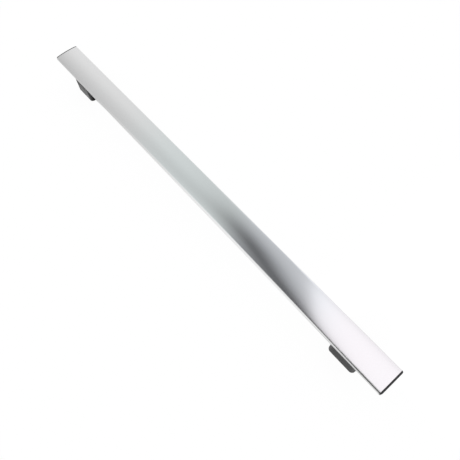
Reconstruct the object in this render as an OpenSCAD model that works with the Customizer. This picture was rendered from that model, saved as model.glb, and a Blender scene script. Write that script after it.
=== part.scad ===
// Oven door handle: a crowned hollow bar carried on two moulded feet.
// X runs along the bar, Y across it and Z out from the door, whose face is the plane z = 0.

/* [Layout] */
// Distance between the centres of the two feet, which is also the spacing of the door screws
foot_spacing = 450; // [250:1:800]
// Length of the handle past the centre of each foot
overhang = 44; // [36:0.5:90]

/* [Grip bar] */
// Width across the front face
bar_width = 30.5; // [26:0.5:40]
// Thickness from the crest of the front face to the flat back
bar_thickness = 8; // [7:0.1:12]
// Radius of the gentle crown across the front face
crown_radius = 130; // [100:5:600]
// Radius of the two long edges of the front face
front_edge_radius = 2.5; // [2:0.1:3]
// Radius of the two long edges of the back
back_edge_radius = 2; // [1.8:0.1:3]
// Lean of the sides inwards, from the front face to the back, in degrees
side_lean = 20; // [0:1:30]
// Wall thickness of the hollow section
bar_wall = 1.5; // [1.2:0.1:1.7]
// Thickness of the two ribs inside the bar that guide the nut plates
rib_thickness = 1.2; // [0.8:0.1:1.6]
// Height of those ribs above the inside of the back wall
rib_height = 1.8; // [1:0.1:2.5]

/* [End caps] */
// Thickness of the flange that covers the end of the bar
cap_flange = 2; // [1.2:0.1:4]
// Depth of the two tongues that plug into the bar
cap_tongue = 12; // [6:0.5:14]
// Gap between the tongues and the inside of the bar
cap_clearance = 0.15; // [0.1:0.05:0.3]

/* [Feet] */
// Height of the feet, which is the finger gap between the door and the bar
foot_height = 28; // [24:0.5:45]
// Width of a foot across the bar, at its base
foot_width = 24; // [21:0.5:26]
// Radius of the upright corners of a foot, at its base
foot_corner_radius = 4; // [3.2:0.1:6]
// Narrowing of each side of a foot, from its base to its top
foot_taper = 0.5; // [0:0.1:0.8]
// Thickness of the side walls of a foot
foot_wall = 2.5; // [2:0.1:3]
// Thickness of the top plate of a foot, between the screw heads and the bar
foot_top = 4.5; // [3:0.1:6]
// Thickness of the webs that tie the boss of a foot to its side walls
web_thickness = 1.8; // [1.2:0.1:3]
// Height of the lower edges of the webs above the door
web_lift = 1.5; // [0.5:0.1:4]

/* [Door inserts] */
// Core diameter of the thread for the door screw
thread_core = 4.2; // [3.2:0.1:4.6]
// Outer diameter of an insert over its two knurled bands
insert_diameter = 6.5; // [6.2:0.1:8]
// Length of an insert
insert_length = 10; // [6:0.5:14]
// Width of the groove between the two knurled bands
insert_groove = 2; // [1:0.1:4]
// Depth of that groove
insert_groove_depth = 0.5; // [0.2:0.1:0.6]
// Radial gap between an insert and its boss
insert_clearance = 0.05; // [0.02:0.01:0.1]
// Wall of the boss around an insert
boss_wall = 1.5; // [1.2:0.1:2.5]
// Depth of the relief hole past an insert, for the tip of the door screw
tip_relief = 6; // [2:0.5:10]
// Diameter of that relief hole
tip_relief_diameter = 5.4; // [5.2:0.1:6]

/* [Foot screws] */
// Thread diameter of the screws that hold a foot to the bar
screw_diameter = 4; // [3:0.5:5]
// Diameter of a screw head
head_diameter = 7; // [6:0.1:8]
// Height of a screw head
head_height = 2.6; // [2:0.1:4]
// Gap round a screw head, to the boss on one side and to the end wall on the other
head_gap = 0.75; // [0.3:0.05:1.5]
// Width of the arms of the cross recess in a head
recess_width = 1; // [0.6:0.1:1.4]
// Span of the cross recess
recess_span = 4; // [2.5:0.1:5]
// Depth of the cross recess
recess_depth = 1.6; // [0.8:0.1:1.9]
// Radial gap round a screw in the holes that it passes through
hole_gap = 0.25; // [0.15:0.05:0.5]
// Radial gap round a screw in its tapped hole, which takes up the thread
thread_gap = 0.05; // [0.02:0.01:0.1]

/* [Nut plates] */
// Width of a nut plate
nut_plate_width = 11; // [8:0.5:12]
// Thickness of a nut plate
nut_plate_thickness = 3; // [2:0.1:4]
// Length of a nut plate past each of its screws
nut_plate_end = 6; // [4:0.5:10]
// Corner radius of a nut plate
nut_plate_corner = 1.5; // [0.5:0.1:3]
// Gap between a nut plate and the ribs on each side of it
nut_plate_gap = 0.2; // [0.1:0.05:0.5]

/* [Hidden] */

// Fineness of round edges and bores, and of the crown's long shallow arc
$fn = 64;
crown_facets = 720;
// Overrun of a cut past the surface that it opens
cut = 1;
// Smallest radius left in a corner whose wall takes up the rest
least_radius = 0.2;
// Chamfer on the edges of the inserts and on the tips and heads of the screws
edge_chamfer = 0.4;

aluminium = [0.80, 0.81, 0.82];
black_plastic = [0.10, 0.10, 0.11];
grey_plastic = [0.28, 0.29, 0.30];
steel = [0.62, 0.63, 0.64];
brass = [0.78, 0.62, 0.30];

// Along the bar
bar_length = foot_spacing + 2 * (overhang - cap_flange);
foot_x = foot_spacing / 2;

// Heights above the door
crest_z = foot_height + bar_thickness;
nut_seat_z = foot_height + bar_wall;
head_seat_z = foot_height - foot_top;

// Centres of the arcs in the bar's section
crown_z = crest_z - crown_radius;
front_edge_y = bar_width / 2 - front_edge_radius;
front_edge_z = crown_z + sqrt(pow(crown_radius - front_edge_radius, 2) - pow(front_edge_y, 2));
back_edge_z = foot_height + back_edge_radius;
back_edge_y = front_edge_y
    + (front_edge_radius - back_edge_radius - sin(side_lean) * (front_edge_z - back_edge_z)) / cos(side_lean);

// Guide channel of the nut plates, and the place of the caps' tongues outside it
channel_width = nut_plate_width + 2 * nut_plate_gap;
tongue_y = channel_width / 2 + rib_thickness + cap_clearance;

// A foot is as long as its boss, the two screw heads beside it and its end walls need
boss_diameter = insert_diameter + 2 * boss_wall;
screw_pitch = boss_diameter + head_diameter + 2 * head_gap;
foot_length = screw_pitch + head_diameter + 2 * (head_gap + foot_wall + foot_taper);
foot_draft = foot_taper / foot_height;
cavity_corner = max(foot_corner_radius - foot_wall, foot_taper + least_radius);

screw_length = foot_top + bar_wall + nut_plate_thickness;

// Outline of the bar's section, moved in from the outer surface by an inset
module bar_section(inset = 0) {
    front_r = max(front_edge_radius - inset, least_radius);
    back_r = max(back_edge_radius - inset, least_radius);
    edge_to_crown = crown_radius - front_edge_radius;
    crown_r = edge_to_crown + front_r;
    side_normal = [cos(side_lean), -sin(side_lean)];
    crown_end = [0, crown_z] + [front_edge_y, front_edge_z - crown_z] * crown_r / edge_to_crown;
    half = [
        crown_end,
        [front_edge_y, front_edge_z] + side_normal * front_r,
        [back_edge_y, back_edge_z] + side_normal * back_r,
        [back_edge_y, back_edge_z - back_r]
    ];
    polygon(concat(half, [for (i = [3:-1:0]) [-half[i].x, half[i].y]]));
    for (side = [-1, 1]) {
        translate([side * front_edge_y, front_edge_z]) circle(front_r);
        translate([side * back_edge_y, back_edge_z]) circle(back_r);
    }
    intersection() {
        translate([0, crown_z]) circle(crown_r, $fn = crown_facets);
        translate([-crown_end.x, front_edge_z]) square([2 * crown_end.x, crown_radius]);
    }
}

// Runs a section that is drawn across the bar along X, from a start
module along_bar(start, length) {
    translate([start, 0, 0]) rotate([90, 0, 90]) linear_extrude(length) children();
}

// Places something at each screw of the foot that is centred on x
module at_screws(x) {
    for (side = [-1, 1]) translate([x + side * screw_pitch / 2, 0, 0]) children();
}

// Upright slab that narrows by the draft of the feet, drawn on its tapered side
module draft_side(half, bottom, top) {
    polygon([
        [-half + foot_draft * bottom, bottom], [half - foot_draft * bottom, bottom],
        [half - foot_draft * top, top], [-half + foot_draft * top, top]
    ]);
}

// Block with rounded upright corners and drafted sides, given by its size at the door's face
module drafted_block(length, width, corner, bottom, top) {
    corner_x = length / 2 - corner;
    corner_y = width / 2 - corner;
    for (x = [-corner_x, corner_x], y = [-corner_y, corner_y])
        translate([x, y, bottom])
            cylinder(h = top - bottom, r1 = corner - foot_draft * bottom, r2 = corner - foot_draft * top);
    rotate([90, 0, 0]) linear_extrude(2 * corner_y, center = true) draft_side(length / 2, bottom, top);
    rotate([90, 0, 90]) linear_extrude(2 * corner_x, center = true) draft_side(width / 2, bottom, top);
}

// Hollow extrusion with two guide ribs on the inside of its back wall
module grip_bar() {
    rib_root = bar_wall / 2;
    color(aluminium) difference() {
        union() {
            difference() {
                along_bar(-bar_length / 2, bar_length) bar_section();
                along_bar(-bar_length / 2 - cut, bar_length + 2 * cut) bar_section(bar_wall);
            }
            for (side = [-1, 1])
                along_bar(-bar_length / 2, bar_length)
                    translate([side * (channel_width + rib_thickness) / 2 - rib_thickness / 2, nut_seat_z - rib_root])
                        square([rib_thickness, rib_root + rib_height]);
        }
        for (x = [-foot_x, foot_x])
            at_screws(x) translate([0, 0, foot_height - cut])
                cylinder(h = bar_wall + 2 * cut, d = screw_diameter + 2 * hole_gap);
    }
}

// Cap on the +X end of the bar
module end_cap() {
    color(black_plastic) {
        along_bar(bar_length / 2, cap_flange) bar_section();
        along_bar(bar_length / 2 - cap_tongue, cap_tongue) intersection() {
            bar_section(bar_wall + cap_clearance);
            for (side = [-1, 1])
                translate([side * (tongue_y + bar_width / 2), crest_z]) square(
                    [bar_width, 4 * bar_thickness], center = true);
        }
    }
}

module left_end_cap() {
    mirror([1, 0, 0]) end_cap();
}

module right_end_cap() {
    end_cap();
}

// Moulded foot, cored out from the door side round a boss on two webs
module foot(x) {
    web_length = foot_width - foot_wall - foot_taper;
    color(grey_plastic) translate([x, 0, 0]) difference() {
        union() {
            difference() {
                drafted_block(foot_length, foot_width, foot_corner_radius, 0, foot_height);
                drafted_block(
                    foot_length - 2 * foot_wall, foot_width - 2 * foot_wall, cavity_corner, -cut, head_seat_z);
            }
            cylinder(h = head_seat_z + foot_top / 2, d = boss_diameter);
            translate([-web_thickness / 2, -web_length / 2, web_lift])
                cube([web_thickness, web_length, head_seat_z + foot_top / 2 - web_lift]);
        }
        translate([0, 0, -cut]) cylinder(h = cut + insert_length, d = insert_diameter + 2 * insert_clearance);
        cylinder(h = insert_length + tip_relief, d = tip_relief_diameter);
        at_screws(0) translate([0, 0, head_seat_z - cut])
            cylinder(h = foot_top + 2 * cut, d = screw_diameter + 2 * hole_gap);
    }
}

module left_foot() {
    foot(-foot_x);
}

module right_foot() {
    foot(foot_x);
}

// Steel strip inside the bar, tapped for the two screws of a foot
module nut_plate(x) {
    half_length = screw_pitch / 2 + nut_plate_end;
    half_width = nut_plate_width / 2;
    color(steel) translate([x, 0, nut_seat_z]) linear_extrude(nut_plate_thickness) difference() {
        union() {
            square([2 * half_length, 2 * (half_width - nut_plate_corner)], center = true);
            square([2 * (half_length - nut_plate_corner), 2 * half_width], center = true);
            for (x_side = [-1, 1], y_side = [-1, 1])
                translate([x_side * (half_length - nut_plate_corner), y_side * (half_width - nut_plate_corner)])
                    circle(nut_plate_corner);
        }
        at_screws(0) circle(d = screw_diameter + 2 * thread_gap);
    }
}

module left_nut_plate() {
    nut_plate(-foot_x);
}

module right_nut_plate() {
    nut_plate(foot_x);
}

// Turned insert for a door screw, with two knurled bands and a groove between them
module insert(x) {
    core_r = thread_core / 2;
    band_r = insert_diameter / 2;
    groove_r = band_r - insert_groove_depth;
    groove_low = (insert_length - insert_groove) / 2;
    groove_high = (insert_length + insert_groove) / 2;
    color(brass) translate([x, 0, 0]) rotate_extrude() polygon([
        [core_r, 0], [band_r - edge_chamfer, 0], [band_r, edge_chamfer],
        [band_r, groove_low], [groove_r, groove_low], [groove_r, groove_high], [band_r, groove_high],
        [band_r, insert_length - edge_chamfer], [band_r - edge_chamfer, insert_length], [core_r, insert_length]
    ]);
}

module left_insert() {
    insert(-foot_x);
}

module right_insert() {
    insert(foot_x);
}

// Cheese-head screw that stands on its head, with the underside of the head at z = 0
module foot_screw() {
    shank_r = screw_diameter / 2;
    head_r = head_diameter / 2;
    difference() {
        rotate_extrude() polygon([
            [0, -head_height], [head_r - edge_chamfer, -head_height], [head_r, edge_chamfer - head_height],
            [head_r, 0], [shank_r, 0],
            [shank_r, screw_length - edge_chamfer], [shank_r - edge_chamfer, screw_length], [0, screw_length]
        ]);
        for (turn = [0, 90])
            rotate(turn) translate([0, 0, -head_height])
                cube([recess_span, recess_width, 2 * recess_depth], center = true);
    }
}

module foot_screws() {
    color(steel) for (x = [-foot_x, foot_x])
        at_screws(x) translate([0, 0, head_seat_z]) foot_screw();
}

grip_bar();
left_end_cap();
right_end_cap();
left_foot();
right_foot();
left_nut_plate();
right_nut_plate();
left_insert();
right_insert();
foot_screws();
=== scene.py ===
"""Looks of an oven door handle: a brushed hollow bar with dark end caps, screwed to two moulded feet."""

import math

import bmesh
import bpy
from mathutils import Matrix, Vector


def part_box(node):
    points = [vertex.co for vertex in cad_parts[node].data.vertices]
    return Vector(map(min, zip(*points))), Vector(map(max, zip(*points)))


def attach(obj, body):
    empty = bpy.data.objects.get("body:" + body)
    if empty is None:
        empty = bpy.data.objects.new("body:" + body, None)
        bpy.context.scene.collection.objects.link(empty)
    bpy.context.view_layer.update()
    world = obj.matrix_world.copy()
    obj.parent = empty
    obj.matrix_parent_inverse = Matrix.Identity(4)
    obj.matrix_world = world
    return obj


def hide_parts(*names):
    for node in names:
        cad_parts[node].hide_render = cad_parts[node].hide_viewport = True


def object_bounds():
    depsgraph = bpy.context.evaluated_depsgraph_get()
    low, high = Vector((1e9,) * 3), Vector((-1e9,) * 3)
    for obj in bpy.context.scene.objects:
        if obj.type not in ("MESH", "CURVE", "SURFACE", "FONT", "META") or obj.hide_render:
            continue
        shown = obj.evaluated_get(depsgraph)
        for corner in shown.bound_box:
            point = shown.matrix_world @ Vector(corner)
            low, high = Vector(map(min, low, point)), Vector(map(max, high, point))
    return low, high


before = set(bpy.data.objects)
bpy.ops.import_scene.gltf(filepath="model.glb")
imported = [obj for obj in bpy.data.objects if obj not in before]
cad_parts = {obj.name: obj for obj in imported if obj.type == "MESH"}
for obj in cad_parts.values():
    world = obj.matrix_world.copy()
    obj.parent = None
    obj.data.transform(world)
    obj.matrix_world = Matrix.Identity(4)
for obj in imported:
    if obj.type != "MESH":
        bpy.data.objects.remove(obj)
cad_low, cad_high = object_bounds()

# Grip bar: a hollow aluminium extrusion with a gently crowned face, brushed along its length and anodised.
# Its section, with two ribs that guide the nut plates, is drawn once and pulled along the bar, and its back
# is then drilled for the screws of the feet.

BAR_LOW, BAR_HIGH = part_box("grip_bar")
CROWN_RADIUS = 0.130
CROWN_STEPS = 24
FRONT_EDGE_RADIUS = 0.0025
FRONT_EDGE_STEPS = 12
BACK_EDGE_RADIUS = 0.002
BACK_EDGE_STEPS = 8
SIDE_LEAN = math.radians(20)
BAR_WALL = 0.0015
RIB_THICKNESS = 0.0012
RIB_HEIGHT = 0.0018
CHANNEL_HALF = 0.0057
FOOT_LOW, FOOT_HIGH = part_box("right_foot")
SCREW_HALF_PITCH = 0.009
HOLE_RADIUS = 0.00225
ROUND_STEPS = 48
SMOOTH_ANGLE = math.radians(35)
PEN_SIZE = 1e-5
WELD_DISTANCE = 1e-6
OVERRUN = 0.001

crown_z = BAR_HIGH.z - CROWN_RADIUS
front_edge_y = BAR_HIGH.y - FRONT_EDGE_RADIUS
edge_to_crown = CROWN_RADIUS - FRONT_EDGE_RADIUS
front_edge_z = crown_z + math.sqrt(edge_to_crown**2 - front_edge_y**2)
back_edge_z = BAR_LOW.z + BACK_EDGE_RADIUS
side_drop = math.sin(SIDE_LEAN) * (front_edge_z - back_edge_z)
back_edge_y = front_edge_y + (FRONT_EDGE_RADIUS - BACK_EDGE_RADIUS - side_drop) / math.cos(SIDE_LEAN)
crown_angle = math.asin(front_edge_y / edge_to_crown)
front_sweep = math.pi / 2 + SIDE_LEAN - crown_angle
back_sweep = math.pi / 2 - SIDE_LEAN
channel_floor = BAR_LOW.z + BAR_WALL
rib_top = channel_floor + RIB_HEIGHT
rib_outer = CHANNEL_HALF + RIB_THICKNESS
right_rib = [
    (rib_outer, channel_floor),
    (rib_outer, rib_top),
    (CHANNEL_HALF, rib_top),
    (CHANNEL_HALF, channel_floor),
]
left_rib = [(-y, z) for y, z in reversed(right_rib)]
foot_x = (FOOT_LOW.x + FOOT_HIGH.x) / 2
screw_places = [
    foot_side * foot_x + screw_side * SCREW_HALF_PITCH for foot_side in (-1, 1) for screw_side in (-1, 1)]


def make_active(piece):
    """Select one piece alone."""
    bpy.ops.object.select_all(action="DESELECT")
    piece.select_set(True)
    bpy.context.view_layer.objects.active = piece


def start_piece(name):
    """Start a piece with an empty mesh, open in edit mode to be drawn into."""
    piece = bpy.data.objects.new(name, bpy.data.meshes.new(name))
    bpy.context.scene.collection.objects.link(piece)
    make_active(piece)
    bpy.ops.object.mode_set(mode="EDIT")
    return piece


def draw(start, strokes):
    """Draw a line: a point is a straight stroke to it, and (centre, sweep, steps) an arc across the bar."""
    bpy.ops.mesh.select_mode(type="VERT")
    bpy.ops.mesh.select_all(action="DESELECT")
    bpy.ops.mesh.primitive_plane_add(size=PEN_SIZE, location=start)
    bpy.ops.mesh.merge(type="CENTER")
    pen = start
    for stroke in strokes:
        if isinstance(stroke, Vector):
            bpy.ops.mesh.extrude_region_move(TRANSFORM_OT_translate={"value": stroke - pen})
            pen = stroke
        else:
            centre, sweep, steps = stroke
            bpy.ops.mesh.spin(steps=steps, angle=sweep, center=centre, axis=(1, 0, 0))
            pen = centre + Matrix.Rotation(-sweep, 3, "X") @ (pen - centre)


def draw_bar_outline(x, inset=0.0, back_points=()):
    """Draw the bar's outline at x, moved in from its surface, with any points of its back from +Y to -Y."""
    front_r = FRONT_EDGE_RADIUS - inset
    back_r = BACK_EDGE_RADIUS - inset
    crown_r = CROWN_RADIUS - inset
    side_y, side_z = math.cos(SIDE_LEAN), -math.sin(SIDE_LEAN)
    crown_end = Vector((x, -crown_r * math.sin(crown_angle), crown_z + crown_r * math.cos(crown_angle)))
    draw(crown_end, [
        (Vector((x, 0, crown_z)), 2 * crown_angle, CROWN_STEPS),
        (Vector((x, front_edge_y, front_edge_z)), front_sweep, FRONT_EDGE_STEPS),
        Vector((x, back_edge_y + back_r * side_y, back_edge_z + back_r * side_z)),
        (Vector((x, back_edge_y, back_edge_z)), back_sweep, BACK_EDGE_STEPS),
        *(Vector((x, y, z)) for y, z in back_points),
        Vector((x, -back_edge_y, back_edge_z - back_r)),
        (Vector((x, -back_edge_y, back_edge_z)), back_sweep, BACK_EDGE_STEPS),
        Vector((x, -front_edge_y - front_r * side_y, front_edge_z + front_r * side_z)),
        (Vector((x, -front_edge_y, front_edge_z)), front_sweep, FRONT_EDGE_STEPS),
    ])


def close_mesh():
    """Weld the mesh that is being edited, turn its faces outwards and leave edit mode."""
    bpy.ops.mesh.select_all(action="SELECT")
    bpy.ops.mesh.remove_doubles(threshold=WELD_DISTANCE)
    bpy.ops.mesh.normals_make_consistent(inside=False)
    bpy.ops.object.mode_set(mode="OBJECT")


def pull_section(length, hollow=False):
    """Fill the outline that was drawn, or the ring between two, and pull it along the bar."""
    bpy.ops.mesh.select_all(action="SELECT")
    bpy.ops.mesh.remove_doubles(threshold=WELD_DISTANCE)
    if hollow:
        bpy.ops.mesh.fill()
    else:
        bpy.ops.mesh.edge_face_add()
    bpy.ops.mesh.extrude_region_move(TRANSFORM_OT_translate={"value": (length, 0, 0)})
    close_mesh()


def combine(piece, other, operation):
    """Join, cut or intersect a piece with another solid, which is used up."""
    make_active(piece)
    boolean = piece.modifiers.new("combine", "BOOLEAN")
    boolean.operation = operation
    boolean.object = other
    bpy.ops.object.modifier_apply(modifier=boolean.name)
    bpy.data.objects.remove(other)


def round_bar(radius, low, high, x=0.0):
    """An upright cylinder from one height to another."""
    bpy.ops.object.select_all(action="DESELECT")
    bpy.ops.mesh.primitive_cylinder_add(
        vertices=ROUND_STEPS, radius=radius, depth=high - low, location=(x, 0, (low + high) / 2))
    bpy.ops.object.transform_apply(location=True, rotation=True, scale=True)
    return bpy.context.object


def smooth(piece):
    """Shade the rounds smooth, and keep the flats flat and the true edges crisp."""
    make_active(piece)
    bpy.ops.object.shade_smooth_by_angle(angle=SMOOTH_ANGLE)
    flats = piece.modifiers.new("flats", "WEIGHTED_NORMAL")
    flats.keep_sharp = True
    bpy.ops.object.modifier_apply(modifier=flats.name)


bar = start_piece("bar_extrusion")
draw_bar_outline(BAR_LOW.x)
draw_bar_outline(BAR_LOW.x, BAR_WALL, right_rib + left_rib)
pull_section(BAR_HIGH.x - BAR_LOW.x, hollow=True)
for place in screw_places:
    combine(bar, round_bar(HOLE_RADIUS, BAR_LOW.z - OVERRUN, channel_floor + OVERRUN, place), "DIFFERENCE")
smooth(bar)

ALUMINIUM_DARK = (0.843, 0.845, 0.847)
ALUMINIUM_LIGHT = (0.903, 0.905, 0.907)
BRUSH_STRETCH = (9, 2600, 2600)
BRUSH_OCTAVES = 3
BRUSH_FINENESS = 0.6
BRUSH_SMOOTHEST, BRUSH_ROUGHEST = 0.12, 0.17
BRUSH_SPREAD = 0.5
BRUSH_STRENGTH = 0.3
BRUSH_DEPTH = 0.000003


def new_material(name):
    """A material with a plain shader, its node tree and that shader."""
    material = bpy.data.materials.new(name)
    material.use_nodes = True
    return material, material.node_tree, material.node_tree.nodes["Principled BSDF"]


def add_node(tree, kind, **inputs):
    """Add a node and set its inputs by name, with an underscore for a space."""
    node = tree.nodes.new(kind)
    for name, value in inputs.items():
        node.inputs[name.replace("_", " ")].default_value = value
    return node


def add_tone(tree, share, dark, light):
    """Add a colour that runs from dark to light with a share, and return its socket."""
    tone = tree.nodes.new("ShaderNodeMix")
    tone.data_type = "RGBA"
    share_socket, dark_socket, light_socket = (
        next(socket for socket in tone.inputs if socket.identifier == wanted)
        for wanted in ("Factor_Float", "A_Color", "B_Color"))
    tree.links.new(share, share_socket)
    for socket, colour in ((dark_socket, dark), (light_socket, light)):
        if isinstance(colour, tuple):
            socket.default_value = (*colour, 1)
        else:
            tree.links.new(colour, socket)
    return next(socket for socket in tone.outputs if socket.identifier == "Result_Color")


def dress(piece, material, slot, *nodes):
    """Give a finished piece its material, hang it under the root body and hide the solids of the frame that
    it replaces.
    """
    piece.data.materials.append(material)
    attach(piece, "root")
    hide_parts(*nodes)


aluminium, tree, shader = new_material("brushed_aluminium")
shader.inputs["Metallic"].default_value = 1
shader.inputs["Anisotropic"].default_value = BRUSH_SPREAD
surface = add_node(tree, "ShaderNodeTexCoord")
stretch = add_node(tree, "ShaderNodeMapping", Scale=BRUSH_STRETCH)
scratches = add_node(tree, "ShaderNodeTexNoise", Scale=1, Detail=BRUSH_OCTAVES, Roughness=BRUSH_FINENESS)
sheen = add_node(tree, "ShaderNodeMapRange", To_Min=BRUSH_SMOOTHEST, To_Max=BRUSH_ROUGHEST)
grooves = add_node(tree, "ShaderNodeBump", Strength=BRUSH_STRENGTH, Distance=BRUSH_DEPTH)
across = add_node(tree, "ShaderNodeTangent")
across.direction_type = "RADIAL"
across.axis = "X"
tree.links.new(surface.outputs["Object"], stretch.inputs["Vector"])
tree.links.new(stretch.outputs["Vector"], scratches.inputs["Vector"])
brush_tone = add_tone(tree, scratches.outputs["Fac"], ALUMINIUM_DARK, ALUMINIUM_LIGHT)
tree.links.new(brush_tone, shader.inputs["Base Color"])
tree.links.new(scratches.outputs["Fac"], sheen.inputs["Value"])
tree.links.new(sheen.outputs["Result"], shader.inputs["Roughness"])
tree.links.new(scratches.outputs["Fac"], grooves.inputs["Height"])
tree.links.new(grooves.outputs["Normal"], shader.inputs["Normal"])
tree.links.new(across.outputs["Tangent"], shader.inputs["Tangent"])
dress(bar, aluminium, "brushed_aluminium", "grip_bar")

# End caps: black plastic mouldings that close the ends of the bar. A flange with the bar's own outline and
# rounded outer edges covers the cut end, and two tongues plug into the hollow beside the nut channel.

CAP_END_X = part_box("right_end_cap")[1].x
CAP_ROUND = 0.0012
CAP_ROUND_STEPS = 6
CAP_CORNER = 0.0022
CAP_CORNER_STEPS = 10
CAP_SIDE_INSET = 0.0005
CAP_TONGUE = 0.012
CAP_CLEARANCE = 0.00015
SHARP_ANGLE = math.radians(30)
PLACE_TOLERANCE = 1e-5

cap_half = BAR_HIGH.y - CAP_SIDE_INSET
tongue_y = rib_outer + CAP_CLEARANCE


def select_edges(piece, wanted):
    """Select the edges of a piece in edit mode that pass a test."""
    bpy.ops.mesh.select_mode(type="EDGE")
    bpy.ops.mesh.select_all(action="DESELECT")
    for edge in bmesh.from_edit_mesh(piece.data).edges:
        edge.select_set(wanted(edge))
    bmesh.update_edit_mesh(piece.data)


def is_rim(edge, axis, place):
    """Whether an edge lies in a plane across an axis and is a sharp one."""
    in_plane = all(abs(vertex.co[axis] - place) < PLACE_TOLERANCE for vertex in edge.verts)
    return in_plane and edge.calc_face_angle(0) > SHARP_ANGLE


def block(low, high):
    """A box between two corners."""
    low, high = Vector(low), Vector(high)
    bpy.ops.object.select_all(action="DESELECT")
    bpy.ops.mesh.primitive_cube_add(size=1, location=(low + high) / 2, scale=high - low)
    bpy.ops.object.transform_apply(location=True, rotation=True, scale=True)
    return bpy.context.object


def turned_copy(piece, name):
    """A copy with its own mesh, turned half round about the middle of the handle."""
    made = piece.copy()
    made.data = piece.data.copy()
    made.name = made.data.name = name
    made.data.transform(Matrix.Rotation(math.pi, 4, "Z"))
    bpy.context.scene.collection.objects.link(made)
    return made


right_cap = start_piece("right_cap")
draw_bar_outline(BAR_HIGH.x)
pull_section(CAP_END_X - BAR_HIGH.x)
bpy.ops.object.mode_set(mode="EDIT")
select_edges(right_cap, lambda edge: is_rim(edge, 0, CAP_END_X))
bpy.ops.mesh.bevel(offset=CAP_ROUND, segments=CAP_ROUND_STEPS, affect="EDGES")
bpy.ops.object.mode_set(mode="OBJECT")
corners = block(
    (BAR_HIGH.x - CAP_CORNER, -cap_half, BAR_LOW.z - OVERRUN), (CAP_END_X, cap_half, BAR_HIGH.z + OVERRUN))
bpy.ops.object.mode_set(mode="EDIT")
select_edges(
    corners, lambda edge: is_rim(edge, 0, CAP_END_X) and edge.verts[0].co.y * edge.verts[1].co.y > 0)
bpy.ops.mesh.bevel(offset=CAP_CORNER, segments=CAP_CORNER_STEPS, affect="EDGES")
bpy.ops.object.mode_set(mode="OBJECT")
combine(right_cap, corners, "INTERSECT")
tongues = start_piece("tongues")
draw_bar_outline(BAR_HIGH.x - CAP_TONGUE, BAR_WALL + CAP_CLEARANCE)
pull_section(CAP_TONGUE + (CAP_END_X - BAR_HIGH.x) / 2)
between_tongues = block(
    (BAR_HIGH.x - CAP_TONGUE - OVERRUN, -tongue_y, BAR_LOW.z), (CAP_END_X, tongue_y, BAR_HIGH.z))
combine(tongues, between_tongues, "DIFFERENCE")
combine(right_cap, tongues, "UNION")
smooth(right_cap)
left_cap = turned_copy(right_cap, "left_cap")

MARKS_LOW, MARKS_HIGH = 0.3, 0.7
FLOW_SCALE = 160
FLOW_OCTAVES = 3
PIT_OCTAVES = 2
PIT_FINENESS = 0.7
GRAIN_STRENGTH = 0.5
CAP_DARK = (0.022, 0.022, 0.024)
CAP_LIGHT = (0.034, 0.034, 0.037)
CAP_GRAIN_SCALE = 4000
CAP_GRAIN_DEPTH = 0.00002
CAP_SMOOTHEST, CAP_ROUGHEST = 0.28, 0.42


def start_group(name, size_name, size_kind):
    """Start a texture group: two tones, a size and a range of gloss go in, and three results come out."""
    group = bpy.data.node_groups.new(name, "ShaderNodeTree")
    tones = {"Dark": "Color", "Light": "Color"}
    inputs = {**tones, size_name: size_kind, "Smoothest": "Float", "Roughest": "Float"}
    outputs = {"Color": "Color", "Roughness": "Float", "Height": "Float"}
    for in_out, sockets in (("INPUT", inputs), ("OUTPUT", outputs)):
        for label, kind in sockets.items():
            group.interface.new_socket(label, in_out=in_out, socket_type="NodeSocket" + kind)
    return group, group.nodes.new("NodeGroupInput"), group.nodes.new("NodeGroupOutput")


def finish_group(group, values, results, marks, relief):
    """Lead the marks of a texture group to its colour and roughness, and the relief to its height."""
    gloss = add_node(group, "ShaderNodeMapRange", From_Min=MARKS_LOW, From_Max=MARKS_HIGH)
    group.links.new(values.outputs["Smoothest"], gloss.inputs["To Min"])
    group.links.new(values.outputs["Roughest"], gloss.inputs["To Max"])
    group.links.new(marks, gloss.inputs["Value"])
    tone = add_tone(group, marks, values.outputs["Dark"], values.outputs["Light"])
    group.links.new(tone, results.inputs["Color"])
    group.links.new(gloss.outputs["Result"], results.inputs["Roughness"])
    group.links.new(relief, results.inputs["Height"])


def textured(name, group, dark, light, size, smoothest, roughest, strength, depth, metallic):
    """A material whose colour, gloss and relief come from a texture group, with values of its own."""
    material, tree, shader = new_material(name)
    shader.inputs["Metallic"].default_value = metallic
    texture = tree.nodes.new("ShaderNodeGroup")
    texture.node_tree = group
    for socket, value in zip(texture.inputs, ((*dark, 1), (*light, 1), size, smoothest, roughest)):
        socket.default_value = value
    relief = add_node(tree, "ShaderNodeBump", Strength=strength, Distance=depth)
    tree.links.new(texture.outputs["Color"], shader.inputs["Base Color"])
    tree.links.new(texture.outputs["Roughness"], shader.inputs["Roughness"])
    tree.links.new(texture.outputs["Height"], relief.inputs["Height"])
    tree.links.new(relief.outputs["Normal"], shader.inputs["Normal"])
    return material


# Moulded grain: the fine spark-eroded texture of a mould, with faint flow marks in tone and gloss.
grain, values, results = start_group("moulded_grain", "Grain Scale", "Float")
surface = add_node(grain, "ShaderNodeTexCoord")
flow = add_node(grain, "ShaderNodeTexNoise", Scale=FLOW_SCALE, Detail=FLOW_OCTAVES)
pits = add_node(grain, "ShaderNodeTexNoise", Detail=PIT_OCTAVES, Roughness=PIT_FINENESS)
for texture in (flow, pits):
    grain.links.new(surface.outputs["Object"], texture.inputs["Vector"])
grain.links.new(values.outputs["Grain Scale"], pits.inputs["Scale"])
finish_group(grain, values, results, flow.outputs["Fac"], pits.outputs["Fac"])

cap_plastic = textured(
    "cap_plastic", grain, CAP_DARK, CAP_LIGHT, CAP_GRAIN_SCALE, CAP_SMOOTHEST, CAP_ROUGHEST,
    GRAIN_STRENGTH, CAP_GRAIN_DEPTH, metallic=0)
dress(right_cap, cap_plastic, "cap_plastic", "right_end_cap")
dress(left_cap, cap_plastic, "cap_plastic", "left_end_cap")

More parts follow.
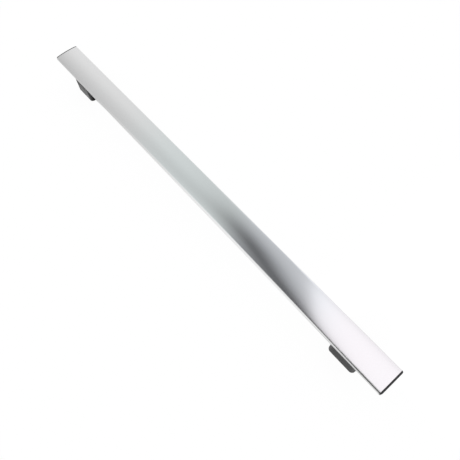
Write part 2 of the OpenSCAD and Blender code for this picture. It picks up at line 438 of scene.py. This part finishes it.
# Nut plates: zinc-plated steel strips, tapped for the screws of the feet, that slide into the channel in
# the bar. They lie out of sight, so the solids of the frame stay and take the plated finish.

MOTTLE_OCTAVES = 4
MOTTLE_FINENESS = 0.6
MOTTLE_STRENGTH = 0.4
ZINC_DARK = (0.54, 0.55, 0.57)
ZINC_LIGHT = (0.68, 0.69, 0.70)
ZINC_STRETCH = (900, 900, 900)
ZINC_SMOOTHEST, ZINC_ROUGHEST = 0.2, 0.38
ZINC_DEPTH = 0.000005

# Metal mottle: the crystals of a plating or the tool marks of a turned metal, by how it is stretched.
mottle, values, results = start_group("metal_mottle", "Stretch", "Vector")
surface = add_node(mottle, "ShaderNodeTexCoord")
stretch = add_node(mottle, "ShaderNodeMapping")
marks = add_node(mottle, "ShaderNodeTexNoise", Scale=1, Detail=MOTTLE_OCTAVES, Roughness=MOTTLE_FINENESS)
mottle.links.new(surface.outputs["Object"], stretch.inputs["Vector"])
mottle.links.new(values.outputs["Stretch"], stretch.inputs["Scale"])
mottle.links.new(stretch.outputs["Vector"], marks.inputs["Vector"])
finish_group(mottle, values, results, marks.outputs["Fac"], marks.outputs["Fac"])

zinc = textured(
    "zinc_steel", mottle, ZINC_DARK, ZINC_LIGHT, ZINC_STRETCH, ZINC_SMOOTHEST, ZINC_ROUGHEST,
    MOTTLE_STRENGTH, ZINC_DEPTH, metallic=1)
for node_name in ("left_nut_plate", "right_nut_plate"):
    nut_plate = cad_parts[node_name]
    nut_plate.data.materials.clear()
    nut_plate.data.materials.append(zinc)

# Feet: dark grey plastic mouldings with rounded, slightly tapered sides, cored out from the door side. A
# boss on two webs holds the threaded insert, and the top plate has a hole for each of the two screws into
# the bar.

FOOT_CORNER = 0.004
FOOT_CORNER_STEPS = 12
FOOT_TAPER = 0.0005
FOOT_WALL = 0.0025
FOOT_TOP = 0.0045
FOOT_RIM_ROUND = 0.0004
FOOT_RIM_STEPS = 3
BOSS_RADIUS = 0.00475
WEB_HALF = 0.0009
WEB_LIFT = 0.0015
INSERT_BORE = 0.0033
RELIEF_RADIUS = 0.0027
RELIEF_DEPTH = 0.006
LEVEL_NORMAL = 0.9
FOOT_DARK = (0.022, 0.0223, 0.0232)
FOOT_LIGHT = (0.032, 0.0325, 0.0337)
FOOT_GRAIN_SCALE = 3200
FOOT_GRAIN_DEPTH = 0.00003
FOOT_SMOOTHEST, FOOT_ROUGHEST = 0.34, 0.46

head_seat_z = FOOT_HIGH.z - FOOT_TOP
inside_top = head_seat_z + FOOT_TOP / 2
foot_size = FOOT_HIGH - FOOT_LOW
foot_base = Vector((foot_x, 0, FOOT_LOW.z))
cavity_size = foot_size - Vector((2 * FOOT_WALL, 2 * FOOT_WALL, 0))
web_y = foot_size.y / 2 - FOOT_WALL / 2 - FOOT_TAPER / 2
insert_top_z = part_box("right_insert")[1].z


def narrow(size, by, centre):
    """Draw in what is selected from all sides by the same distance."""
    scale = (1 - 2 * by / size[0], 1 - 2 * by / size[1], 1)
    bpy.ops.transform.resize(value=scale, center_override=centre)


def select_faces(piece, wanted):
    """Select the faces of a piece in edit mode that pass a test."""
    bpy.ops.mesh.select_mode(type="FACE")
    bpy.ops.mesh.select_all(action="DESELECT")
    for face in bmesh.from_edit_mesh(piece.data).faces:
        face.select_set(wanted(face))
    bmesh.update_edit_mesh(piece.data)


right_foot = block(FOOT_LOW, FOOT_HIGH)
right_foot.name = right_foot.data.name = "right_foot_moulding"
bpy.ops.object.mode_set(mode="EDIT")
select_edges(right_foot, lambda edge: abs(edge.verts[0].co.z - edge.verts[1].co.z) > foot_size.z / 2)
bpy.ops.mesh.bevel(offset=FOOT_CORNER, segments=FOOT_CORNER_STEPS, affect="EDGES")
select_faces(right_foot, lambda face: face.normal.z > LEVEL_NORMAL)
narrow(foot_size, FOOT_TAPER, foot_base)
select_faces(right_foot, lambda face: face.normal.z < -LEVEL_NORMAL)
bpy.ops.mesh.inset(thickness=FOOT_WALL)
bpy.ops.mesh.extrude_region_move(TRANSFORM_OT_translate={"value": (0, 0, head_seat_z)})
narrow(cavity_size, FOOT_TAPER * head_seat_z / foot_size.z, foot_base)
for rim_z in (FOOT_LOW.z, FOOT_HIGH.z):
    select_edges(right_foot, lambda edge: is_rim(edge, 2, rim_z))
    bpy.ops.mesh.bevel(offset=FOOT_RIM_ROUND, segments=FOOT_RIM_STEPS, affect="EDGES")
close_mesh()
web = block((foot_x - WEB_HALF, -web_y, WEB_LIFT), (foot_x + WEB_HALF, web_y, inside_top))
combine(right_foot, web, "UNION")
combine(right_foot, round_bar(BOSS_RADIUS, FOOT_LOW.z, inside_top, foot_x), "UNION")
combine(right_foot, round_bar(INSERT_BORE, FOOT_LOW.z - OVERRUN, insert_top_z, foot_x), "DIFFERENCE")
combine(right_foot, round_bar(RELIEF_RADIUS, FOOT_LOW.z, insert_top_z + RELIEF_DEPTH, foot_x), "DIFFERENCE")
for screw_side in (-1, 1):
    place = foot_x + screw_side * SCREW_HALF_PITCH
    hole = round_bar(HOLE_RADIUS, head_seat_z - OVERRUN, FOOT_HIGH.z + OVERRUN, place)
    combine(right_foot, hole, "DIFFERENCE")
smooth(right_foot)
left_foot = turned_copy(right_foot, "left_foot_moulding")
foot_plastic = textured(
    "foot_plastic", grain, FOOT_DARK, FOOT_LIGHT, FOOT_GRAIN_SCALE, FOOT_SMOOTHEST, FOOT_ROUGHEST,
    GRAIN_STRENGTH, FOOT_GRAIN_DEPTH, metallic=0)
dress(right_foot, foot_plastic, "foot_plastic", "right_foot")
dress(left_foot, foot_plastic, "foot_plastic", "left_foot")

# Foot screws: zinc-plated steel cheese-head screws with a cross recess, two to a foot. They go up through
# the top plate of the foot and the back of the bar into the nut plate, and a short plain shank lies next
# to each head.

SCREW_RADIUS = 0.002
SCREW_CHAMFER = 0.0004
HEAD_RADIUS = 0.0035
PLAIN_SHANK = 0.0015
THREAD_CREST = 0.00194
THREAD_ROOT = 0.00165
THREAD_PITCH = 0.0007
THREAD_STEPS = 32
SPARE_TURNS = 2
RECESS_HALF_WIDTH = 0.0005
RECESS_HALF_SPAN = 0.002
RECESS_DEPTH = 0.0016
RECESS_TAPER = 0.0006
# A tooth of a thread: its height as a share of the full one, at shares of the pitch.
TOOTH = ((0, 0), (1, 0.4), (1, 0.5), (0, 0.9), (0, 1))

screws_low, screws_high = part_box("foot_screws")
thread_low_z = head_seat_z + PLAIN_SHANK
recess_scale = 1 - RECESS_TAPER / RECESS_HALF_SPAN


def turn(name, profile):
    """Turn a solid about the Z axis, from the (radius, height) points of its half profile."""
    piece = start_piece(name)
    points = [Vector((radius, 0, height)) for radius, height in profile]
    draw(points[0], points[1:])
    bpy.ops.mesh.select_all(action="SELECT")
    bpy.ops.mesh.spin(steps=ROUND_STEPS, angle=2 * math.pi, center=(0, 0, 0), axis=(0, 0, 1))
    close_mesh()
    return piece


def threaded_rod(root, crest, pitch, low, high):
    """A rod about the Z axis with a helical thread, wound too long at both ends and trimmed flat."""
    rod = start_piece("threaded_rod")
    start = low - SPARE_TURNS * pitch
    points = [Vector((root + up * (crest - root), 0, start + along * pitch)) for up, along in TOOTH]
    draw(points[0], points[1:])
    bpy.ops.object.mode_set(mode="OBJECT")
    helix = rod.modifiers.new("helix", "SCREW")
    helix.screw_offset = pitch
    helix.iterations = math.ceil((high - low) / pitch) + 2 * SPARE_TURNS
    helix.steps = THREAD_STEPS
    helix.render_steps = THREAD_STEPS
    bpy.ops.object.modifier_apply(modifier=helix.name)
    bpy.ops.object.mode_set(mode="EDIT")
    bpy.ops.mesh.select_all(action="SELECT")
    bpy.ops.mesh.remove_doubles(threshold=WELD_DISTANCE)
    for is_top in (False, True):
        select_edges(
            rod, lambda edge: edge.is_boundary and (edge.verts[0].co.z > (low + high) / 2) == is_top)
        bpy.ops.mesh.edge_face_add()
    close_mesh()
    combine(rod, round_bar(2 * crest, low, high), "INTERSECT")
    return rod


screw = turn("screw", [
    (0, screws_low.z),
    (HEAD_RADIUS - SCREW_CHAMFER, screws_low.z),
    (HEAD_RADIUS, screws_low.z + SCREW_CHAMFER),
    (HEAD_RADIUS, head_seat_z),
    (SCREW_RADIUS, head_seat_z),
    (SCREW_RADIUS, thread_low_z),
    (0, thread_low_z),
])
shank_end = turn("shank_end", [
    (0, head_seat_z),
    (SCREW_RADIUS, head_seat_z),
    (SCREW_RADIUS, screws_high.z - SCREW_CHAMFER),
    (SCREW_RADIUS - SCREW_CHAMFER, screws_high.z),
    (0, screws_high.z),
])
thread = threaded_rod(THREAD_ROOT, THREAD_CREST, THREAD_PITCH, head_seat_z + OVERRUN, screws_high.z)
combine(thread, shank_end, "INTERSECT")
combine(screw, thread, "UNION")
for reach_x, reach_y in ((RECESS_HALF_SPAN, RECESS_HALF_WIDTH), (RECESS_HALF_WIDTH, RECESS_HALF_SPAN)):
    arm = block(
        (-reach_x, -reach_y, screws_low.z - RECESS_DEPTH), (reach_x, reach_y, screws_low.z + RECESS_DEPTH))
    bpy.ops.object.mode_set(mode="EDIT")
    select_faces(arm, lambda face: face.normal.z > LEVEL_NORMAL)
    bpy.ops.transform.resize(value=(recess_scale, recess_scale, 1), center_override=(0, 0, screws_low.z))
    bpy.ops.object.mode_set(mode="OBJECT")
    combine(screw, arm, "DIFFERENCE")
smooth(screw)
screws = []
for place in screw_places:
    placed = screw.copy()
    placed.data = screw.data.copy()
    placed.data.transform(Matrix.Translation((place, 0, 0)))
    bpy.context.scene.collection.objects.link(placed)
    screws.append(placed)
bpy.data.objects.remove(screw)
make_active(screws[0])
for placed in screws:
    placed.select_set(True)
bpy.ops.object.join()
screws[0].name = screws[0].data.name = "screw_set"
dress(screws[0], zinc, "zinc_steel", "foot_screws")

# Door inserts: turned brass bushes with two knurled bands, pressed into the bosses of the feet. Their
# thread takes the screws that come through the door.

BAND_RADIUS = 0.00325
GROOVE_RADIUS = 0.00275
GROOVE_HALF = 0.001
INSERT_CHAMFER = 0.0004
KNURL_DEPTH = 0.0002
CORE_RADIUS = 0.0021
TAP_ROOT = 0.00195
TAP_CREST = 0.0025
TAP_PITCH = 0.0008
BRASS_DARK = (0.64, 0.47, 0.20)
BRASS_LIGHT = (0.78, 0.60, 0.30)
BRASS_STRETCH = (300, 300, 4000)
BRASS_SMOOTHEST, BRASS_ROUGHEST = 0.2, 0.36
BRASS_DEPTH = 0.000006

insert_low_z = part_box("right_insert")[0].z
insert_middle_z = (insert_low_z + insert_top_z) / 2
knurl_scale = 1 - KNURL_DEPTH / BAND_RADIUS
insert = turn("right_insert_bush", [
    (CORE_RADIUS, insert_low_z),
    (BAND_RADIUS - INSERT_CHAMFER, insert_low_z),
    (BAND_RADIUS, insert_low_z + INSERT_CHAMFER),
    (BAND_RADIUS, insert_middle_z - GROOVE_HALF),
    (GROOVE_RADIUS, insert_middle_z - GROOVE_HALF),
    (GROOVE_RADIUS, insert_middle_z + GROOVE_HALF),
    (BAND_RADIUS, insert_middle_z + GROOVE_HALF),
    (BAND_RADIUS, insert_top_z - INSERT_CHAMFER),
    (BAND_RADIUS - INSERT_CHAMFER, insert_top_z),
    (CORE_RADIUS, insert_top_z),
    (CORE_RADIUS, insert_low_z),
])
bpy.ops.object.mode_set(mode="EDIT")
bpy.ops.mesh.select_mode(type="VERT")
bpy.ops.mesh.select_all(action="DESELECT")
for vertex in bmesh.from_edit_mesh(insert.data).verts:
    on_band = vertex.co.xy.length > BAND_RADIUS - PLACE_TOLERANCE
    step = round(math.atan2(vertex.co.y, vertex.co.x) / (2 * math.pi / ROUND_STEPS))
    vertex.select_set(on_band and step % 2 == 1)
bmesh.update_edit_mesh(insert.data)
bpy.ops.transform.resize(value=(knurl_scale, knurl_scale, 1), center_override=(0, 0, 0))
bpy.ops.object.mode_set(mode="OBJECT")
tap = threaded_rod(TAP_ROOT, TAP_CREST, TAP_PITCH, insert_low_z - OVERRUN, insert_top_z + OVERRUN)
combine(insert, tap, "DIFFERENCE")
smooth(insert)
insert.data.transform(Matrix.Translation((foot_x, 0, 0)))
left_insert = turned_copy(insert, "left_insert_bush")
brass = textured(
    "insert_brass", mottle, BRASS_DARK, BRASS_LIGHT, BRASS_STRETCH, BRASS_SMOOTHEST, BRASS_ROUGHEST,
    MOTTLE_STRENGTH, BRASS_DEPTH, metallic=1)
dress(insert, brass, "insert_brass", "right_insert")
dress(left_insert, brass, "insert_brass", "left_insert")

# Studio floor: a sheet of white paper that the handle stands on. The camera sees it white, with a trace of
# the handle's shadow. For metal and plastic the paper glows as a painted pool of light, with painted shade
# under the bar, on the front side of both ends and close to the feet, and they mirror that.

FLOOR_SIZE = 6.0
FLOOR_GAP = 0.00005
PAPER_WHITE = 0.95
PAPER_ROUGHNESS = 0.9
GLOW_WHITE = 1.03
GLOW_SHARE = 0.93
POOL_LEVEL = 0.98
UNDER_LEVEL = 0.12
UNDER_EDGE = (0.005, 0.013)
FRONT_SIDE = (0.02, -0.01)
NEAR_SHADE, NEAR_BACK_GAIN = 0.23, 0.07
NEAR_END = (0.13, 0.20)
FAR_SHADE = 0.32
FAR_END = (-0.232, -0.256)
NEAR_FOOT_SHADE, NEAR_FOOT_CORE = 0.35, 0.3
NEAR_FOOT_PLACE, NEAR_FOOT_REACH = (foot_x, 0), (0.03, 0.07)
FAR_FOOT_SHADE, FAR_FOOT_CORE = 0.85, 0.4
FAR_FOOT_PLACE, FAR_FOOT_REACH = (-0.197, -0.004), (0.022, 0.020)
PAINTED_CAST_SHADE = 0.85
CAST_ALONG = (-0.262, -0.25, -0.213, -0.203)
CAST_ACROSS = (-0.065, -0.045, -0.026, -0.018)


def calc(tree, operation, *values):
    """A math node on some values, each a number or a socket."""
    made = tree.nodes.new("ShaderNodeMath")
    made.operation = operation
    for socket, value in zip(made.inputs, values):
        if isinstance(value, (int, float)):
            socket.default_value = value
        else:
            tree.links.new(value, socket)
    return made.outputs["Value"]


def rise(tree, value, limits, low=0.0, high=1.0):
    """A smooth step of a value, from low at the first limit to high at the second."""
    start, end = limits
    made = add_node(tree, "ShaderNodeMapRange", From_Min=start, From_Max=end, To_Min=low, To_Max=high)
    made.interpolation_type = "SMOOTHSTEP"
    tree.links.new(value, made.inputs["Value"])
    return made.outputs["Result"]


def within(tree, value, band):
    """A smooth hump of a value, up from the first place of a band to the second and down from the third."""
    start, full, last, end = band
    return calc(tree, "MULTIPLY", rise(tree, value, (start, full)), rise(tree, value, (end, last)))


def oval_shade(tree, along, across, centre, reach, core, shade):
    """A painted shade in the floor's glow that is full in the core of an oval and gone at its rim."""
    squares = []
    for value, middle, half in zip((along, across), centre, reach):
        share = calc(tree, "DIVIDE", calc(tree, "SUBTRACT", value, middle), half)
        squares.append(calc(tree, "POWER", share, 2))
    return rise(tree, calc(tree, "SQRT", calc(tree, "ADD", *squares)), (core, 1), shade, 0)


bpy.ops.object.select_all(action="DESELECT")
bpy.ops.mesh.primitive_plane_add(size=FLOOR_SIZE, location=(0, 0, cad_low.z - FLOOR_GAP))
bpy.ops.object.transform_apply(location=True, rotation=True, scale=True)
floor = bpy.context.object
floor.name = "floor"
paper, tree, shader = new_material("white_paper")
shader.inputs["Base Color"].default_value = (PAPER_WHITE, PAPER_WHITE, PAPER_WHITE, 1)
shader.inputs["Roughness"].default_value = PAPER_ROUGHNESS
surface = add_node(tree, "ShaderNodeTexCoord")
split = add_node(tree, "ShaderNodeSeparateXYZ")
tree.links.new(surface.outputs["Object"], split.inputs["Vector"])
floor_x, floor_y = split.outputs["X"], split.outputs["Y"]
# Painted shadow in the floor's glow for reflections: on the front side of both ends, round the feet, cast
# by the far foot towards the front, and under the bar.
near_shade = calc(
    tree, "MULTIPLY", rise(tree, floor_x, NEAR_END),
    rise(tree, floor_y, FRONT_SIDE, -NEAR_BACK_GAIN, NEAR_SHADE))
far_shade = calc(
    tree, "MULTIPLY", rise(tree, floor_x, FAR_END, 0, FAR_SHADE), rise(tree, floor_y, FRONT_SIDE))
near_foot_shade = oval_shade(
    tree, floor_x, floor_y, NEAR_FOOT_PLACE, NEAR_FOOT_REACH, NEAR_FOOT_CORE, NEAR_FOOT_SHADE)
far_foot_shade = oval_shade(
    tree, floor_x, floor_y, FAR_FOOT_PLACE, FAR_FOOT_REACH, FAR_FOOT_CORE, FAR_FOOT_SHADE)
painted_cast_patch = calc(tree, "MULTIPLY", within(tree, floor_x, CAST_ALONG), within(tree, floor_y, CAST_ACROSS))
painted_cast_shade = calc(tree, "MULTIPLY", painted_cast_patch, PAINTED_CAST_SHADE)
under = rise(tree, calc(tree, "ABSOLUTE", floor_y), UNDER_EDGE, UNDER_LEVEL, 1)
pool = calc(tree, "MULTIPLY", under, POOL_LEVEL)
for shade in (near_shade, far_shade, near_foot_shade, far_foot_shade, painted_cast_shade):
    pool = calc(tree, "MULTIPLY", pool, calc(tree, "SUBTRACT", 1, shade))
# The glow is plain white for the camera; for reflections it is the painted pool of light with its painted
# shade.
rays = add_node(tree, "ShaderNodeLightPath")
clear = calc(tree, "MAXIMUM", rays.outputs["Is Camera Ray"], rays.outputs["Is Transmission Ray"])
seen = calc(tree, "MAXIMUM", clear, rays.outputs["Is Glossy Ray"])
glow = add_node(tree, "ShaderNodeEmission", Color=(1, 1, 1, 1))
glow_level = calc(tree, "MULTIPLY", calc(tree, "MAXIMUM", pool, clear), GLOW_WHITE)
blend = add_node(tree, "ShaderNodeMixShader")
tree.links.new(glow_level, glow.inputs["Strength"])
tree.links.new(calc(tree, "MULTIPLY", seen, GLOW_SHARE), blend.inputs["Fac"])
tree.links.new(shader.outputs["BSDF"], blend.inputs[1])
tree.links.new(glow.outputs["Emission"], blend.inputs[2])
tree.links.new(blend.outputs["Shader"], tree.nodes["Material Output"].inputs["Surface"])
floor.data.materials.append(paper)

# Room light: soft light from all round, as the bar mirrors it. A grey wall lies past the far end, a white
# panel stands over the near end, a dark gap between the two gives the bar its dark band, and the front side
# is dimmer. Levels and limits go by the X and Y of the direction that a ray looks in.

WALL_LEVEL, WALL_PER_X, WALL_PER_Y = 0.20, -0.4916, 0.978
WALL_TOP_LEVEL, WALL_TOP_PER_X = 0.516, -0.439
PANEL_LEVEL = 1.083
PANEL_LEAN = 0.12
PANEL_EDGE = (-0.1255, -0.1055)
PANEL_FADE = 0.16
PANEL_FADE_BAND = (0.43, 0.53, 0.60, 0.76)
PANEL_SIDE_LEVEL = 0.45
PANEL_SIDE = (0.15, 0.6)
PANEL_FOOT_LEVEL = 0.75
PANEL_FOOT = (0.82, 0.93)
GAP_DEPTH = 0.884
GAP_X, GAP_FAR_WIDTH, GAP_NEAR_WIDTH = -0.2878, 0.08, 0.1037
GAP_Y, GAP_LOW_HEIGHT, GAP_HIGH_HEIGHT = 0.1934, 0.80, 0.1876
GAP_LEAN, GAP_LOW_LEAN = 0.126, 0.854
FRONT_FAR, FRONT_MIDDLE, FRONT_NEAR, FRONT_END = 0.555, 0.941, 0.12, 0.60
FRONT_FAR_EDGE = (-0.8, -0.4)
FRONT_NEAR_EDGE = (-0.387, -0.307)
FRONT_END_EDGE = (0.15, 0.5)
FRONT_LEAN = 0.3315
FRONT_TOP = (-0.0723, 0.1978)
FRONT_DROP = 0.518
FRONT_DROP_EDGE = (-0.36, 0.1)
WHITE = (1.0, 1.0, 1.0)
WALL_TINT, WALL_TINT_EDGE = (0.937, 1.0, 0.998), (-0.65, -0.53)
GAP_TINT, GAP_TINT_EDGE = (0.968, 0.998, 1.05), (-0.40, -0.32)
PANEL_TINT, PANEL_TINT_EDGE = (1.032, 0.993, 1.03), (-0.20, -0.05)
TINT_TOP = (-0.35, -0.05)

world = bpy.data.worlds.new("studio")
bpy.context.scene.world = world
world.use_nodes = True
tree = world.node_tree
ground = tree.nodes["Background"]
direction = add_node(tree, "ShaderNodeTexCoord")
split = add_node(tree, "ShaderNodeSeparateXYZ")
tree.links.new(direction.outputs["Generated"], split.inputs["Vector"])
look_x, look_y = split.outputs["X"], split.outputs["Y"]


def slope(level, per_x, per_y=0.0):
    """A level that changes evenly across the room."""
    return calc(tree, "MULTIPLY_ADD", look_x, per_x, calc(tree, "MULTIPLY_ADD", look_y, per_y, level))


def blend_to(first, second, share):
    """One level turning into another."""
    kept = calc(tree, "MULTIPLY", first, calc(tree, "SUBTRACT", 1.0, share))
    return calc(tree, "ADD", kept, calc(tree, "MULTIPLY", second, share))


def two_widths(distance, low_width, high_width):
    """A distance as a share of one width below zero and of another above it."""
    low = calc(tree, "DIVIDE", calc(tree, "MINIMUM", distance, 0.0), low_width)
    high = calc(tree, "DIVIDE", calc(tree, "MAXIMUM", distance, 0.0), high_width)
    return calc(tree, "ADD", low, high)


wall_low = slope(WALL_LEVEL, WALL_PER_X, WALL_PER_Y)
wall_top = slope(WALL_TOP_LEVEL, WALL_TOP_PER_X)
wall = calc(tree, "MINIMUM", wall_low, wall_top)
panel_fade = calc(tree, "MULTIPLY", within(tree, look_y, PANEL_FADE_BAND), PANEL_FADE)
panel_light = calc(tree, "SUBTRACT", PANEL_LEVEL, panel_fade)
panel_light = calc(tree, "MULTIPLY", panel_light, rise(tree, look_x, PANEL_SIDE, 1, PANEL_SIDE_LEVEL))
panel_light = calc(tree, "MULTIPLY", panel_light, rise(tree, look_y, PANEL_FOOT, 1, PANEL_FOOT_LEVEL))
room = blend_to(wall, panel_light, rise(tree, slope(0.0, 1.0, PANEL_LEAN), PANEL_EDGE))
above_gap = slope(-GAP_Y, 0.0, 1.0)
low_lean = calc(tree, "MULTIPLY", calc(tree, "MINIMUM", above_gap, 0.0), GAP_LOW_LEAN)
gap_side = calc(tree, "ADD", slope(-GAP_X, 1.0, GAP_LEAN), low_lean)
gap_side = two_widths(gap_side, GAP_FAR_WIDTH, GAP_NEAR_WIDTH)
gap_height = two_widths(above_gap, GAP_LOW_HEIGHT, GAP_HIGH_HEIGHT)
gap_reach = calc(tree, "ADD", calc(tree, "POWER", gap_side, 2.0), calc(tree, "POWER", gap_height, 2.0))
gap = calc(tree, "POWER", math.e, calc(tree, "MULTIPLY", gap_reach, -1.0))
room = calc(tree, "MULTIPLY", room, calc(tree, "SUBTRACT", 1.0, calc(tree, "MULTIPLY", gap, GAP_DEPTH)))
front_light = rise(tree, look_x, FRONT_FAR_EDGE, FRONT_FAR, FRONT_MIDDLE)
front_dark = rise(tree, slope(0.0, 1.0, FRONT_LEAN), FRONT_NEAR_EDGE, 0.0, FRONT_NEAR - FRONT_MIDDLE)
front_light = calc(tree, "ADD", front_light, front_dark)
front_end = rise(tree, look_x, FRONT_END_EDGE, 0.0, FRONT_END - FRONT_NEAR)
front_light = calc(tree, "ADD", front_light, front_end)
front_y = calc(tree, "ADD", look_y, rise(tree, look_x, FRONT_DROP_EDGE, 0.0, FRONT_DROP))
studio = blend_to(front_light, room, rise(tree, front_y, FRONT_TOP))
rays = add_node(tree, "ShaderNodeLightPath")
clear = calc(tree, "MAXIMUM", rays.outputs["Is Camera Ray"], rays.outputs["Is Transmission Ray"])
tree.links.new(blend_to(studio, 1.0, clear), ground.inputs["Strength"])
tint = add_tone(tree, rise(tree, look_x, WALL_TINT_EDGE), WHITE, WALL_TINT)
tint = add_tone(tree, rise(tree, look_x, GAP_TINT_EDGE), tint, GAP_TINT)
tint = add_tone(tree, rise(tree, look_x, PANEL_TINT_EDGE), tint, PANEL_TINT)
tint = add_tone(tree, rise(tree, look_y, TINT_TOP), WHITE, tint)
tree.links.new(add_tone(tree, clear, tint, WHITE), ground.inputs["Color"])

# Camera: a short lens held over the right-hand end, looking down and along the bar, as the photograph was
# taken. Its place, aim and lens were fitted to the outlines of the bar and the feet.

FRAME_PIXELS = 460
FOCAL_PIXELS = 473.75
SENSOR_WIDTH = 36
CAMERA_EYE = Vector((0.238861, -0.132482, 0.464023))
CAMERA_LOOK = Vector((-0.36542, 0.25754, -0.89451))
CAMERA_TOP = Vector((-0.66803, 0.59666, 0.44468))

camera_data = bpy.data.cameras.new("camera")
camera_data.sensor_width = SENSOR_WIDTH
camera_data.lens = FOCAL_PIXELS / FRAME_PIXELS * SENSOR_WIDTH
camera = bpy.data.objects.new("camera", camera_data)
bpy.context.scene.collection.objects.link(camera)
look = CAMERA_LOOK.normalized()
right = look.cross(CAMERA_TOP).normalized()
top = right.cross(look)
camera.matrix_world = Matrix.Translation(CAMERA_EYE) @ Matrix((right, top, -look)).transposed().to_4x4()
bpy.context.scene.camera = camera
bpy.context.scene.view_settings.view_transform = "Standard"
